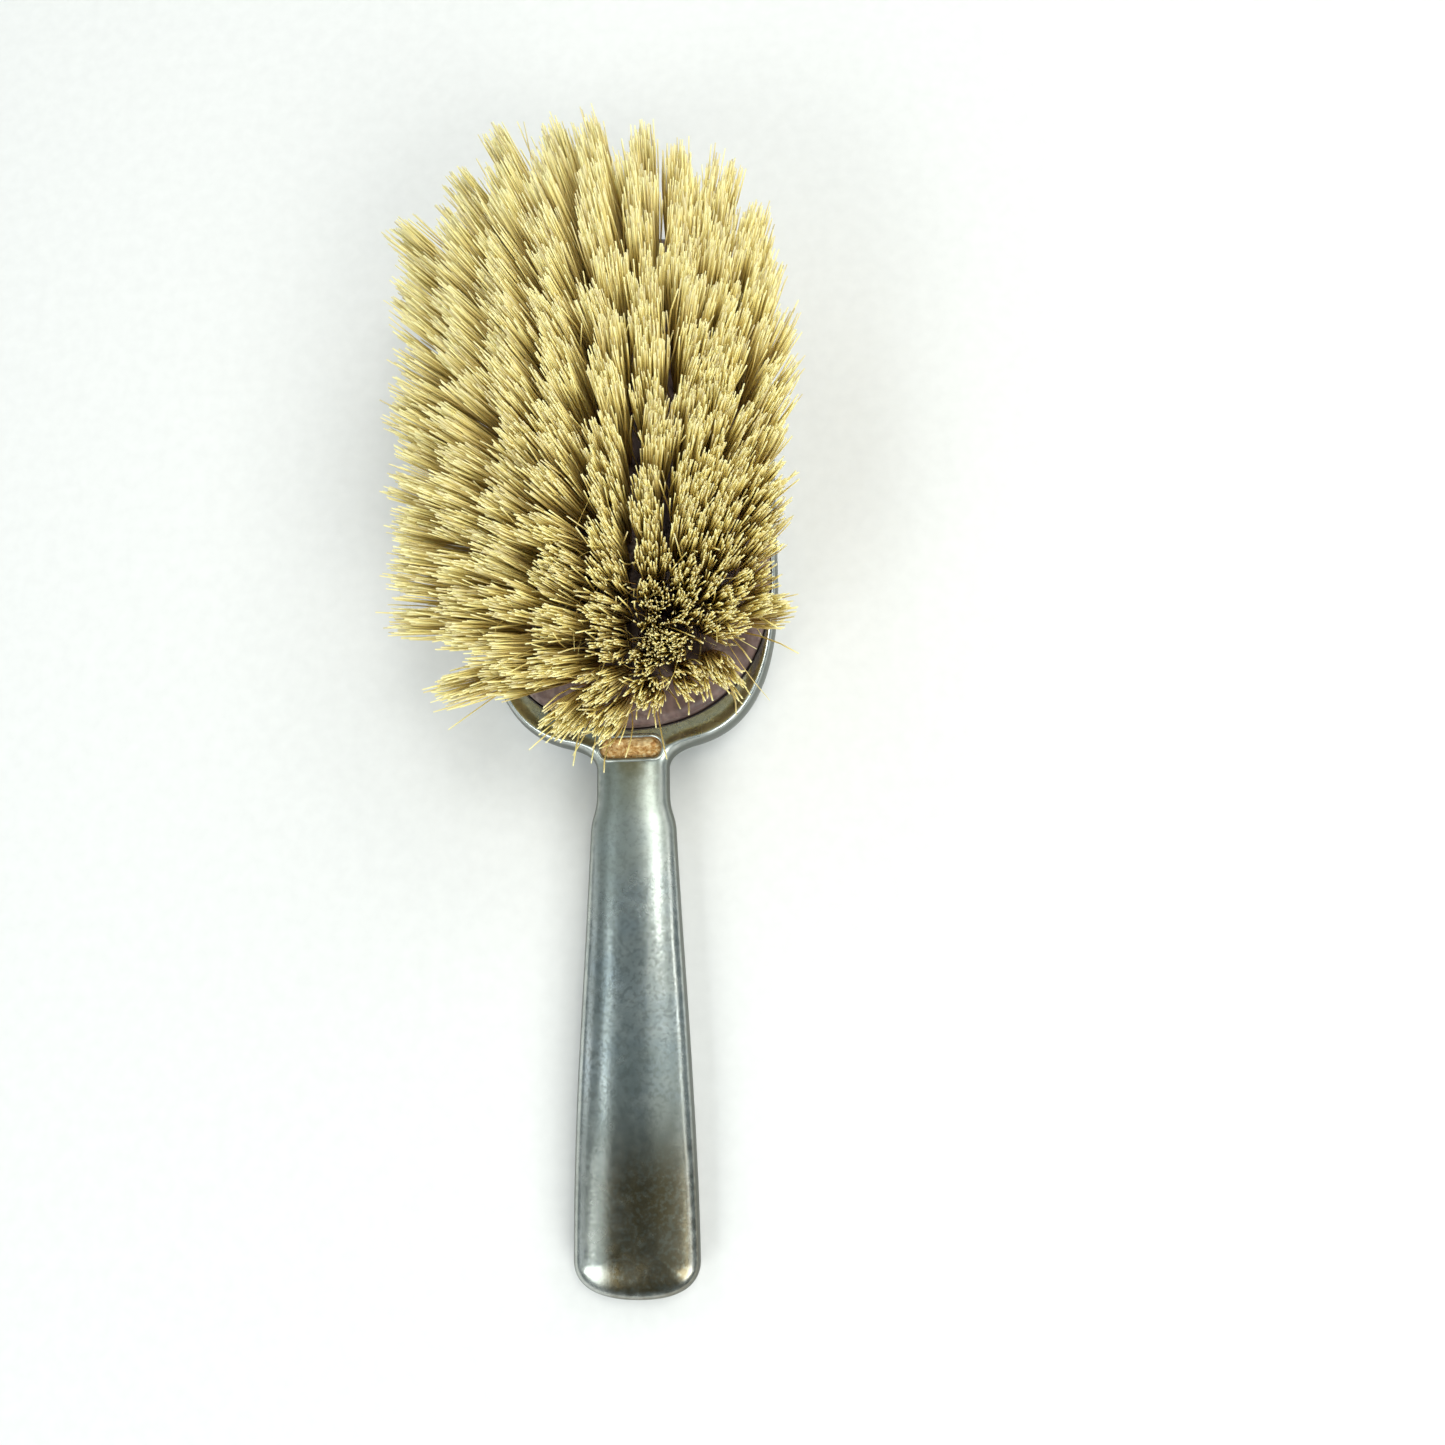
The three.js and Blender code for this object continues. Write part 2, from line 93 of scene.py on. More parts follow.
BACK = {"head": 0.0, "neck": 2.8, "grip": 1.0, "end": 0.0}
TOP = {"head": RIM_TOP, "neck": 10.6, "grip": 10.6, "end": 8.6}
SEAM = {"head": SEAM_HEAD, "neck": 6.7, "grip": 5.8, "end": 4.3}

SHEET = 0.55  # thickness of the silver
RIM_ROLL = 1.35  # width of the rounded outer edge of the rim
RIM_DISH = 0.75  # how far the silver dips between its edge and the stock
BACK_ROLL = 10.0  # width of the rounded side of the back


# ------------------------------------------------------------------ Small helpers
def smooth(x, low, high):
    """Smooth step from 0 at low to 1 at high."""
    t = np.clip((np.asarray(x, float) - low) / (high - low), 0.0, 1.0)
    return t * t * (3 - 2 * t)


def mix(a, b, t):
    return a + (b - a) * t


def bezier(p0, p1, p2, p3, steps, start=0.0, stop=1.0):
    """Points on a cubic curve, without its last one."""
    t = np.linspace(start, stop, steps, endpoint=False)[:, None]
    p0, p1, p2, p3 = (np.array(p, float) for p in (p0, p1, p2, p3))
    return (1 - t) ** 3 * p0 + 3 * (1 - t) ** 2 * t * p1 + 3 * (1 - t) * t ** 2 * p2 + t ** 3 * p3


def line(p0, p1, steps):
    """Points on a straight line, without its last one."""
    t = np.linspace(0, 1, steps, endpoint=False)[:, None]
    return mix(np.array(p0, float), np.array(p1, float), t)


def height_at(y, heights):
    """Height at places along the brush, from its values at the head, neck, grip and end."""
    y = np.asarray(y, float)
    near_head = mix(heights["neck"], heights["head"], smooth(y, NECK_Y, BLEND_Y))
    near_neck = mix(heights["grip"], heights["neck"], smooth(y, MIDDLE_Y, NECK_Y))
    near_end = mix(heights["end"], heights["grip"], smooth(y, GRIP_END, MIDDLE_Y))
    return np.where(y > NECK_Y, near_head, np.where(y > MIDDLE_Y, near_neck, near_end))


def distance_to(points, path):
    """Distance of each point from a polyline, both in plan."""
    best = np.full(len(points), np.inf)
    for a, b in zip(path[:-1], path[1:]):
        along = b - a
        t = np.clip(((points - a) @ along) / max(along @ along, 1e-9), 0, 1)
        nearest = a + t[:, None] * along
        best = np.minimum(best, np.linalg.norm(points - nearest, axis=1))
    return best


def wobble(points, size, amount, seed):
    """A smooth offset for each point, from noise of the given size."""
    shift = Vector((seed * 13.7, seed * 7.1, seed * 3.3))
    return np.array([noise.noise(Vector(p) / size + shift) * amount for p in points])


def make_mesh(name, vertices, faces, material, replaces=(), smooth_angle=math.radians(40)):
    """Make a piece from vertices in millimetres, hang it on the brush and name its finish."""
    mesh = bpy.data.meshes.new(name)
    mesh.from_pydata((np.asarray(vertices, float) * MM).tolist(), [], faces)
    mesh.validate()
    piece = bpy.data.objects.new(name, mesh)
    bpy.context.scene.collection.objects.link(piece)
    mesh.materials.append(material)
    mesh.shade_smooth()
    mesh.set_sharp_from_angle(angle=smooth_angle)
    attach(piece, BODY)
    if replaces:
        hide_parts(*replaces)
    return piece


def apply_modifiers(piece):
    """Bake a piece's modifiers into its mesh."""
    graph = bpy.context.evaluated_depsgraph_get()
    mesh = bpy.data.meshes.new_from_object(piece.evaluated_get(graph))
    piece.modifiers.clear()
    piece.data = mesh


# ------------------------------------------------------------------ Camera
LENS = 27.056055  # focal length in mm, on a sensor of this width
SENSOR = 36.0
ROLL = 6.0  # degrees that the brush leans to its left in the view
TIP = 1.0  # degrees that its head dips


def make_camera():
    """A phone held over the brush, a little to its right and towards the handle."""
    pivot = Vector((0.0, NECK_Y, 8.0))  # the view is rolled and tipped about this point
    place = Vector((16.1, NECK_Y - 29.8, 240.0))
    forward = Vector((0.0147, 0.1687, -0.9856)).normalized()
    up = Vector((0.0183, 0.9854, 0.1689))
    roll = Matrix.Rotation(math.radians(ROLL), 3, "Y")
    tip = Matrix.Rotation(math.radians(TIP), 3, "X")
    turn = tip @ roll
    place = pivot + turn @ (place - pivot)
    forward = turn @ forward
    up = turn @ up
    right = forward.cross(up).normalized()
    up = right.cross(forward).normalized()
    data = bpy.data.cameras.new("camera")
    data.sensor_width = SENSOR
    data.lens = LENS
    data.clip_start = 0.01
    data.clip_end = 20
    camera = bpy.data.objects.new("camera", data)
    bpy.context.scene.collection.objects.link(camera)
    camera.matrix_world = Matrix((
        (right.x, up.x, -forward.x, place.x * MM),
        (right.y, up.y, -forward.y, place.y * MM),
        (right.z, up.z, -forward.z, place.z * MM),
        (0, 0, 0, 1),
    ))
    bpy.context.scene.camera = camera


make_camera()


# ------------------------------------------------------------------ Materials
def new_material(name):
    material = bpy.data.materials.new(name)
    material.use_nodes = True
    nodes = material.node_tree.nodes
    return material, nodes, material.node_tree.links, nodes["Principled BSDF"]


def add_noise(nodes, links, scale, detail=4.0, stretch=(1, 1, 1), distortion=0.0):
    """A noise pattern in object space, stretched along the axes. Scale is per metre."""
    place = nodes.new("ShaderNodeTexCoord")
    mapping = nodes.new("ShaderNodeMapping")
    mapping.inputs["Scale"].default_value = stretch
    texture = nodes.new("ShaderNodeTexNoise")
    texture.inputs["Scale"].default_value = scale
    texture.inputs["Detail"].default_value = detail
    texture.inputs["Distortion"].default_value = distortion
    links.new(place.outputs["Object"], mapping.inputs["Vector"])
    links.new(mapping.outputs["Vector"], texture.inputs["Vector"])
    return texture.outputs["Fac"]


def add_ramp(nodes, links, source, stops):
    """A colour ramp over a value. Each stop is a place and a colour or a grey."""
    ramp = nodes.new("ShaderNodeValToRGB")
    elements = ramp.color_ramp.elements
    while len(elements) < len(stops):
        elements.new(0.5)
    for element, (place, colour) in zip(elements, stops):
        element.position = place
        element.color = (colour, colour, colour, 1) if np.isscalar(colour) else (*colour, 1)
    links.new(source, ramp.inputs["Fac"])
    return ramp.outputs["Color"]


def add_mix(nodes, links, factor, first, second, blend="MIX"):
    """Mix two colours, each a socket or a colour."""
    node = nodes.new("ShaderNodeMix")
    node.data_type = "RGBA"
    node.blend_type = blend
    for label, value in (("Factor", factor), ("A", first), ("B", second)):
        socket = node.inputs[label]
        if isinstance(value, bpy.types.NodeSocket):
            links.new(value, socket)
        else:
            socket.default_value = value if np.isscalar(value) else (*value, 1)
    return node.outputs["Result"]


def add_math(nodes, links, operation, first, second=0.0, clamp=False):
    node = nodes.new("ShaderNodeMath")
    node.operation = operation
    node.use_clamp = clamp
    for socket, value in zip(node.inputs, (first, second)):
        if isinstance(value, bpy.types.NodeSocket):
            links.new(value, socket)
        else:
            socket.default_value = value
    return node.outputs["Value"]


def add_bump(nodes, links, layers):
    """Bump from a list of (height socket, strength, distance in metres)."""
    previous = None
    for source, strength, distance in layers:
        bump = nodes.new("ShaderNodeBump")
        bump.inputs["Strength"].default_value = strength
        bump.inputs["Distance"].default_value = distance
        links.new(source, bump.inputs["Height"])
        if previous:
            links.new(previous, bump.inputs["Normal"])
        previous = bump.outputs["Normal"]
    return previous


def add_place(nodes, links):
    """The three object coordinates, in metres."""
    place = nodes.new("ShaderNodeTexCoord")
    split = nodes.new("ShaderNodeSeparateXYZ")
    links.new(place.outputs["Object"], split.inputs["Vector"])
    return split.outputs


def add_range(nodes, links, source, low, high, to_low=0.0, to_high=1.0):
    node = nodes.new("ShaderNodeMapRange")
    node.interpolation_type = "SMOOTHSTEP"
    for name, value in (("From Min", low), ("From Max", high), ("To Min", to_low), ("To Max", to_high)):
        node.inputs[name].default_value = value
    links.new(source, node.inputs["Value"])
    return node.outputs["Result"]


def add_attribute(nodes, name):
    node = nodes.new("ShaderNodeAttribute")
    node.attribute_name = name
    return node.outputs["Fac"]


# Along the brush in metres: where each kind of tarnish starts and is full.
BROWN_END = (-0.124, -0.150)
DULL_NECK = (-0.108, -0.070)
DULL_START = (-0.052, -0.064)
NECK_PATCH = -0.0655  # middle of the dark patch under the slot
NECK_PATCH_REACH = 0.006


def silver_material():
    """Worn silver: cloudy grey-green tarnish, painted shade on steep sides, brown tarnish at the grip's end
    that is kept paler on the left, partly as a painted highlight.
    """
    material, nodes, links, shader = new_material("tarnished_silver")
    clouds = add_noise(nodes, links, 60, 5, (1, 0.55, 1), 0.6)
    fine = add_noise(nodes, links, 420, 6)
    spots = add_noise(nodes, links, 150, 3)
    scratches = add_noise(nodes, links, 900, 3, (1, 0.06, 1), 0.3)
    crossed = add_noise(nodes, links, 700, 2, (0.12, 1, 1), 0.5)
    grain = add_noise(nodes, links, 1100, 4)
    place = add_place(nodes, links)

    clean = add_ramp(nodes, links, clouds, [
        (0.30, (0.25, 0.29, 0.28)), (0.5, (0.42, 0.46, 0.44)), (0.70, (0.60, 0.63, 0.60)),
    ])
    blue = add_ramp(nodes, links, spots, [(0.45, 0.0), (0.68, 1.0)])
    tinted = add_mix(nodes, links, add_math(nodes, links, "MULTIPLY", blue, 0.35), clean, (0.42, 0.50, 0.56))
    brown_end = add_range(nodes, links, place["Y"], *BROWN_END)
    # Brown tarnish is cut to about a third on the left of the grip's end. This is partly real tarnish and
    # partly a painted highlight where the left highlight falls.
    brown_cut_for_left_highlight = add_range(nodes, links, place["X"], -0.0085, -0.003, 0.35, 1.0)
    brown_mask = add_math(nodes, links, "MULTIPLY", add_math(nodes, links, "MULTIPLY", brown_end, brown_cut_for_left_highlight),
                          add_ramp(nodes, links, clouds, [(0.3, 1.0), (0.75, 0.7)]))
    tarnished = add_mix(nodes, links, brown_mask, tinted, (0.105, 0.08, 0.035))
    dark_neck = add_range(nodes, links, add_math(nodes, links, "ABSOLUTE", add_math(
        nodes, links, "ADD", place["Y"], -NECK_PATCH)), NECK_PATCH_REACH, 0.0)
    patch = add_math(nodes, links, "MULTIPLY", dark_neck,
                     add_ramp(nodes, links, fine, [(0.42, 0.0), (0.62, 0.9)]))
    patched = add_mix(nodes, links, patch, tarnished, (0.14, 0.14, 0.11))
    dull_neck = add_math(nodes, links, "MULTIPLY", add_range(nodes, links, place["Y"], *DULL_NECK),
                         add_range(nodes, links, place["Y"], *DULL_START))
    dull = add_math(nodes, links, "MULTIPLY", dull_neck,
                    add_ramp(nodes, links, clouds, [(0.3, 0.9), (0.75, 0.5)]))
    patched = add_mix(nodes, links, dull, patched, (0.27, 0.30, 0.26))
    grainy = add_ramp(nodes, links, grain, [(0.38, 0.35), (0.52, 0.0)])
    patched = add_mix(nodes, links, grainy, patched, (0.22, 0.24, 0.21))
    # Painted shade: where the surface turns steeply away from up, the colour is darkened towards a
    # near-black grey.
    facing = nodes.new("ShaderNodeNewGeometry").outputs["Normal"]
    upright = nodes.new("ShaderNodeSeparateXYZ")
    links.new(facing, upright.inputs["Vector"])
    steep = add_math(nodes, links, "ABSOLUTE", upright.outputs["Z"])
    side = add_range(nodes, links, steep, 0.72, 0.45, 0.0, 0.9)
    patched = add_mix(nodes, links, side, patched, (0.075, 0.08, 0.065))
    edge = add_attribute(nodes, "edge")
    worn = add_math(nodes, links, "MULTIPLY", edge, add_ramp(nodes, links, fine, [(0.3, 0.15), (0.6, 0.5)]))
    colour = add_mix(nodes, links, worn, patched, (0.74, 0.76, 0.72))
    links.new(colour, shader.inputs["Base Color"])

    rough = add_ramp(nodes, links, clouds, [(0.3, 0.25), (0.7, 0.16)])
    rough_fine = add_mix(nodes, links, 0.25, rough, add_ramp(nodes, links, fine, [(0.35, 0.2), (0.7, 0.48)]))
    # The same painted shade mask also makes the steep sides rougher and less metallic, so they stay dark.
    dulled = add_math(nodes, links, "MAXIMUM", add_math(nodes, links, "MULTIPLY", dull, 0.9), side)
    links.new(add_mix(nodes, links, dulled, rough_fine, (0.44, 0.44, 0.44)), shader.inputs["Roughness"])
    links.new(add_math(nodes, links, "SUBTRACT", 1.0, add_math(nodes, links, "MULTIPLY", side, 0.9)),
              shader.inputs["Metallic"])
    normal = add_bump(nodes, links, [
        (scratches, 0.10, 0.00006), (crossed, 0.06, 0.00005), (fine, 0.10, 0.0001),
        (grain, 0.22, 0.00007), (spots, 0.03, 0.0004),
    ])
    links.new(normal, shader.inputs["Normal"])
    return material


def wood_material(name, dark, light, dust):
    """Close-grained wood with a dusting of pale powder."""
    material, nodes, links, shader = new_material(name)
    grain = add_noise(nodes, links, 500, 6, (1, 0.12, 1), 0.8)
    cloud = add_noise(nodes, links, 90, 4)
    speck = add_noise(nodes, links, 900, 4)
    base = add_ramp(nodes, links, grain, [(0.3, dark), (0.7, light)])
    dusty = add_math(nodes, links, "MULTIPLY", add_ramp(nodes, links, cloud, [(0.42, 0.1), (0.7, 1.0)]),
                     add_ramp(nodes, links, speck, [(0.4, 0.15), (0.68, 0.8)]))
    links.new(add_mix(nodes, links, dusty, base, dust), shader.inputs["Base Color"])
    links.new(add_ramp(nodes, links, cloud, [(0.3, 0.42), (0.7, 0.7)]), shader.inputs["Roughness"])
    bump = add_bump(nodes, links, [(grain, 0.25, 0.0002), (speck, 0.12, 0.0001)])
    links.new(bump, shader.inputs["Normal"])
    return material


def filler_material():
    """Crumbly resin filler: pale crumbs on deep orange."""
    material, nodes, links, shader = new_material("golden_filler")
    crumbs = add_noise(nodes, links, 1400, 5, (1, 1, 1), 0.4)
    cloud = add_noise(nodes, links, 350, 3)
    base = add_ramp(nodes, links, crumbs, [
        (0.3, (0.30, 0.12, 0.025)), (0.5, (0.62, 0.34, 0.10)), (0.68, (0.86, 0.66, 0.34)),
    ])
    pale = add_ramp(nodes, links, cloud, [(0.45, 0.0), (0.7, 0.7)])
    links.new(add_mix(nodes, links, pale, base, (0.86, 0.70, 0.40)), shader.inputs["Base Color"])
    links.new(add_ramp(nodes, links, crumbs, [(0.3, 0.45), (0.7, 0.8)]), shader.inputs["Roughness"])
    links.new(add_bump(nodes, links, [(crumbs, 0.6, 0.0003)]), shader.inputs["Normal"])
    return material


STRAND_MAP = "OFBake"  # across: a strip for each kind of bristle; up: from its root to its tip
STRAND_KINDS = 48


def bristle_material():
    """Natural bristle: tan shafts that pale to cream at the tips, each a little different; the dark root end
    is partly painted shade and the brightest tip band is a painted highlight.
    """
    material, nodes, links, shader = new_material("natural_bristle")
    strand = nodes.new("ShaderNodeUVMap")
    strand.uv_map = STRAND_MAP
    split = nodes.new("ShaderNodeSeparateXYZ")
    links.new(strand.outputs["UV"], split.inputs["Vector"])
    # Colour from root to tip. It is partly the bristle's own colour and partly painted shade that darkens
    # the roots deep in the tufts. The last stops add a painted highlight where the tips catch light.
    along = add_ramp(nodes, links, split.outputs["Y"], [
        (0.0, (0.60, 0.36, 0.14)), (0.35, (0.78, 0.60, 0.22)), (0.7, (0.88, 0.73, 0.29)),
        (0.92, (0.90, 0.80, 0.34)), (0.98, (0.96, 0.90, 0.49)),
    ])
    chance = nodes.new("ShaderNodeTexWhiteNoise")
    chance.noise_dimensions = "1D"
    strip = add_math(nodes, links, "MULTIPLY", split.outputs["X"], STRAND_KINDS)
    step = add_math(nodes, links, "FLOOR", strip)
    links.new(step, chance.inputs["W"])
    tint = add_ramp(nodes, links, chance.outputs["Value"], [
        (0.0, (0.66, 0.60, 0.60)), (0.25, (0.90, 0.85, 0.84)),
        (0.6, (1.0, 0.97, 0.90)), (1.0, (1.0, 1.0, 1.0)),
    ])
    links.new(add_mix(nodes, links, 1.0, along, tint, "MULTIPLY"), shader.inputs["Base Color"])
    rough = add_ramp(nodes, links, chance.outputs["Value"], [(0.0, 0.38), (1.0, 0.55)])
    links.new(rough, shader.inputs["Roughness"])
    return material


def plain_material(name, colour, roughness, metallic, scale):
    """A material for a hidden piece, with some variation."""
    material, nodes, links, shader = new_material(name)
    pattern = add_noise(nodes, links, scale, 4)
    dark = tuple(0.75 * c for c in colour)
    links.new(add_ramp(nodes, links, pattern, [(0.3, dark), (0.7, colour)]), shader.inputs["Base Color"])
    rough = add_ramp(nodes, links, pattern, [(0.3, roughness), (0.7, roughness + 0.12)])
    links.new(rough, shader.inputs["Roughness"])
    links.new(add_bump(nodes, links, [(pattern, 0.2, 0.0002)]), shader.inputs["Normal"])
    shader.inputs["Metallic"].default_value = metallic
    return material


SILVER = silver_material()
STOCK_WOOD = wood_material("stock_wood", (0.055, 0.028, 0.024), (0.15, 0.085, 0.072), (0.36, 0.28, 0.24))
FILLER = filler_material()
BRISTLE = bristle_material()


# ------------------------------------------------------------------ Outlines
END_STEPS = 60  # points round each rounded end of the head
SIDE_STEPS = 30  # along its straight side
SWEEP_STEPS = 36  # along the sweep into the neck
HEAD_POINTS = 2 * END_STEPS + SIDE_STEPS + SWEEP_STEPS  # before the handle starts
STOCK_FAR_FULLNESS = 0.68  # how far the stock's curves run on before they turn in, as shares
STOCK_NEAR_FULLNESS = 0.56
STOCK_SIDE_FULLNESS = 0.7


def head_and_handle():
    """Right half of the silver's outline, and the line inside it that each point's section ends on."""
    near_start, sweep = (HEAD_HALF, -STRAIGHT_Y), (SWEEP_HALF, -HEAD_END + 1.0)
    lead = 0.57 * (HEAD_HALF - SWEEP_HALF)
    outer = [
        bezier((0, HEAD_END), (END_FULLNESS * HEAD_HALF, HEAD_END),
               (HEAD_HALF, mix(STRAIGHT_Y, HEAD_END, SIDE_FULLNESS)), (HEAD_HALF, STRAIGHT_Y), END_STEPS),
        line((HEAD_HALF, STRAIGHT_Y), near_start, SIDE_STEPS),
        bezier(near_start, (HEAD_HALF, mix(-STRAIGHT_Y, sweep[1], SIDE_FULLNESS)),
               (sweep[0] + lead, sweep[1] + 0.24 * lead), sweep, END_STEPS),
        bezier(sweep, (mix(sweep[0], NECK_HALF, 0.65), sweep[1] - 1),
               (NECK_HALF, mix(NECK_Y, sweep[1], 0.5)), (NECK_HALF, NECK_Y), SWEEP_STEPS),
        line((NECK_HALF, NECK_Y), (NECK_HALF, NECK_END_Y), 8),
        bezier((NECK_HALF, NECK_END_Y), (NECK_HALF, NECK_END_Y - SHOULDER_RUN / 2),
               (SHOULDER_HALF, NECK_END_Y - SHOULDER_RUN / 2), (SHOULDER_HALF, SHOULDER_Y), 20),
        bezier((SHOULDER_HALF, SHOULDER_Y),
               (mix(SHOULDER_HALF, GRIP_HALF, 0.34), mix(SHOULDER_Y, GRIP_END, 0.3)),
               (GRIP_HALF, mix(SHOULDER_Y, GRIP_END, 0.62)), (GRIP_HALF, GRIP_END + GRIP_END_RISE), 90),
        bezier((GRIP_HALF, GRIP_END + GRIP_END_RISE), (GRIP_HALF, GRIP_END + 0.33 * GRIP_END_RISE),
               (0.62 * GRIP_HALF, GRIP_END), (0, GRIP_END), 40),
        np.array([(0, GRIP_END)]),
    ]
    return np.concatenate(outer)


def stock_outline(gap, steps=60):
    """Right half of the stock's outline, grown by a gap."""
    half, far, near = STOCK_HALF + gap, STOCK_FAR + gap, STOCK_NEAR - gap
    return np.concatenate([
        bezier((0, far), (STOCK_FAR_FULLNESS * half, far),
               (half, mix(STRAIGHT_Y, far, STOCK_SIDE_FULLNESS)), (half, STRAIGHT_Y), steps),
        line((half, STRAIGHT_Y), (half, -STRAIGHT_Y), steps // 2),
        bezier((half, -STRAIGHT_Y), (half, mix(-STRAIGHT_Y, near, STOCK_SIDE_FULLNESS)),
               (STOCK_NEAR_FULLNESS * half, near), (0, near), steps),
        np.array([(0, near)]),
    ])


def opening_line():
    """The line that each point of the outline pairs with in the front: the opening, then the middle."""
    half, far, near = STOCK_HALF + OPENING_GAP, STOCK_FAR + OPENING_GAP, STOCK_NEAR - OPENING_GAP
    near_curve = ((half, -STRAIGHT_Y), (half, mix(-STRAIGHT_Y, near, STOCK_SIDE_FULLNESS)),
                  (STOCK_NEAR_FULLNESS * half, near), (0, near))
    handle = head_and_handle()[HEAD_POINTS:]
    middle = np.stack([np.zeros(len(handle)), np.maximum(handle[:, 1], GRIP_END + 0.85 * GRIP_HALF)], 1)
    return np.concatenate([
        bezier((0, far), (STOCK_FAR_FULLNESS * half, far),
               (half, mix(STRAIGHT_Y, far, STOCK_SIDE_FULLNESS)), (half, STRAIGHT_Y), END_STEPS),
        line((half, STRAIGHT_Y), (half, -STRAIGHT_Y), SIDE_STEPS),
        bezier(*near_curve, END_STEPS, 0.0, 0.8),
        bezier(*near_curve, SWEEP_STEPS // 2, 0.8, 1.0),
        line((0, near), (0, NECK_Y), SWEEP_STEPS // 2),
        middle,
    ])


# ------------------------------------------------------------------ Silver
OUTLINE = head_and_handle()


def handle_run(y):
    """Width over which the handle's section rounds over, from its edge to its middle."""
    y = np.asarray(y, float)
    rows = OUTLINE[HEAD_POINTS:]
    inside = rows[rows[:, 1] > GRIP_END + GRIP_END_RISE]
    return np.interp(y, inside[::-1, 1], inside[::-1, 0])


def front_height(points, distance):
    """Height of the front silver at points in plan, from their distance to its edge."""
    y = points[:, 1]
    in_head = smooth(y, NECK_Y - 1.5, -HEAD_END + 3.0)
    run = mix(handle_run(y), RIM_ROLL, in_head)
    power = mix(2.3, 2.0, in_head)
    top = height_at(y, TOP)
    seam = height_at(y, SEAM)
    away = 1 - np.clip(distance / run, 0, 1)
    height = mix(seam, top, (1 - away ** power) ** (1 / power))
    dish = RIM_DISH * in_head * smooth(distance, RIM_ROLL * 0.8, RIM_ROLL + 2.2)
    return height - dish


def back_height(points, distance):
    """Height of the back silver at points in plan, from their distance to its edge."""
    y = points[:, 1]
    in_head = smooth(y, NECK_Y - 1.5, BLEND_Y)
    run = mix(handle_run(y), BACK_ROLL, in_head)
    away = 1 - np.clip(distance / run, 0, 1)
    return mix(height_at(y, SEAM), height_at(y, BACK), np.sqrt(1 - away ** 2))


def mirrored_grid(rows, columns, vertices):
    """Vertices and faces of a right half and its mirror image, which a weld then joins."""
    left = vertices * np.array([-1.0, 1.0, 1.0])
    count = rows * columns
    faces = []
    for i in range(rows - 1):
        for j in range(columns - 1):
            a, b = i * columns + j, (i + 1) * columns + j
            faces.append((a, b, b + 1, a + 1))
            faces.append((count + a, count + a + 1, count + b + 1, count + b))
    return np.concatenate([vertices, left]), faces


def weld(piece, distance):
    """Join the vertices of a piece that lie together, and drop faces that this closes up."""
    modifier = piece.modifiers.new("weld", "WELD")
    modifier.merge_threshold = distance
    apply_modifiers(piece)


def store_edge(piece, outline, reach):
    """Keep on each vertex how near it is to the silver's outline, for worn edges."""
    co = np.array([v.co for v in piece.data.vertices]) / MM
    flat = np.stack([np.abs(co[:, 0]), co[:, 1]], 1)
    distance = distance_to(flat, outline)
    near = (1 - smooth(distance, 0.5 * reach, reach)) * smooth(distance, 0.15 * reach, 0.4 * reach)
    layer = piece.data.attributes.new("edge", "FLOAT", "POINT")
    layer.data.foreach_set("value", near.astype(np.float32))


def silver_sheet(name, inner, height, replaces, flip):
    """One stamped half of the silver, from its outline in to a paired inner line."""
    columns = 26
    share = (np.linspace(0, 1, columns) ** 1.7)[None, :, None]
    plan = OUTLINE[:, None, :] + (inner - OUTLINE)[:, None, :] * share
    flat = plan.reshape(-1, 2)
    distance = distance_to(flat, OUTLINE)
    z = height(flat, distance)
    points = np.column_stack([flat, z])
    fade = smooth(distance, 0.3, 3.0)
    points[:, 2] += fade * (wobble(points, 18.0, 0.06, 1) + wobble(points, 5.0, 0.012, 2))
    vertices, faces = mirrored_grid(len(OUTLINE), columns, points)
    if flip:
        faces = [face[::-1] for face in faces]
    piece = make_mesh(name, vertices, faces, SILVER, replaces)
    weld(piece, 0.00002)
    thick = piece.modifiers.new("sheet", "SOLIDIFY")
    thick.thickness = SHEET * MM
    thick.offset = -1
    apply_modifiers(piece)
    return piece


CUT_LOW, CUT_HIGH = 7.0, 14.0  # heights that the slot is cut between


def cut_slot(piece):
    """Cut the oblong slot through the front silver."""
    outline = slot_outline(0.0)
    count = len(outline)
    low = [(x, y, CUT_LOW) for x, y in outline]
    high = [(x, y, CUT_HIGH) for x, y in outline]
    faces = [tuple(range(count))[::-1], tuple(range(count, 2 * count))]
    faces += [(i, (i + 1) % count, count + (i + 1) % count, count + i) for i in range(count)]
    mesh = bpy.data.meshes.new("slot_cutter")
    mesh.from_pydata((np.array(low + high) * MM).tolist(), [], faces)
    cutter = bpy.data.objects.new("slot_cutter", mesh)
    bpy.context.scene.collection.objects.link(cutter)
    cut = piece.modifiers.new("slot", "BOOLEAN")
    cut.object = cutter
    cut.solver = "EXACT"
    apply_modifiers(piece)
    bpy.data.objects.remove(cutter)


SLOT_LOW, SLOT_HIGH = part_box("slot_filler")
SLOT_Y = (SLOT_LOW.y + SLOT_HIGH.y) / 2 / MM
SLOT_REACH = 4.5  # from the slot's middle to the centre of each round end
SLOT_RADIUS = 2.5
PLUG_FOOT = 9.0  # height that the plug's skirt goes down to


def slot_outline(margin, steps=24):
    """The slot's outline in plan: two half circles joined by straight sides."""
    radius = SLOT_RADIUS + margin
    turn = np.linspace(-math.pi / 2, math.pi / 2, steps)
    right = np.stack([SLOT_REACH + radius * np.cos(turn), SLOT_Y + radius * np.sin(turn)], 1)
    left = np.stack([-SLOT_REACH - radius * np.cos(turn), SLOT_Y - radius * np.sin(turn)], 1)
    side = line(right[-1], left[0], 12)[1:]
    back = line(left[-1], right[0], 12)[1:]
    return np.concatenate([right, side, left, back])


def surface_height(plan):
    """Height of the front silver at points in plan."""
    flat = np.stack([np.abs(plan[:, 0]), plan[:, 1]], 1)
    return front_height(flat, distance_to(flat, OUTLINE))


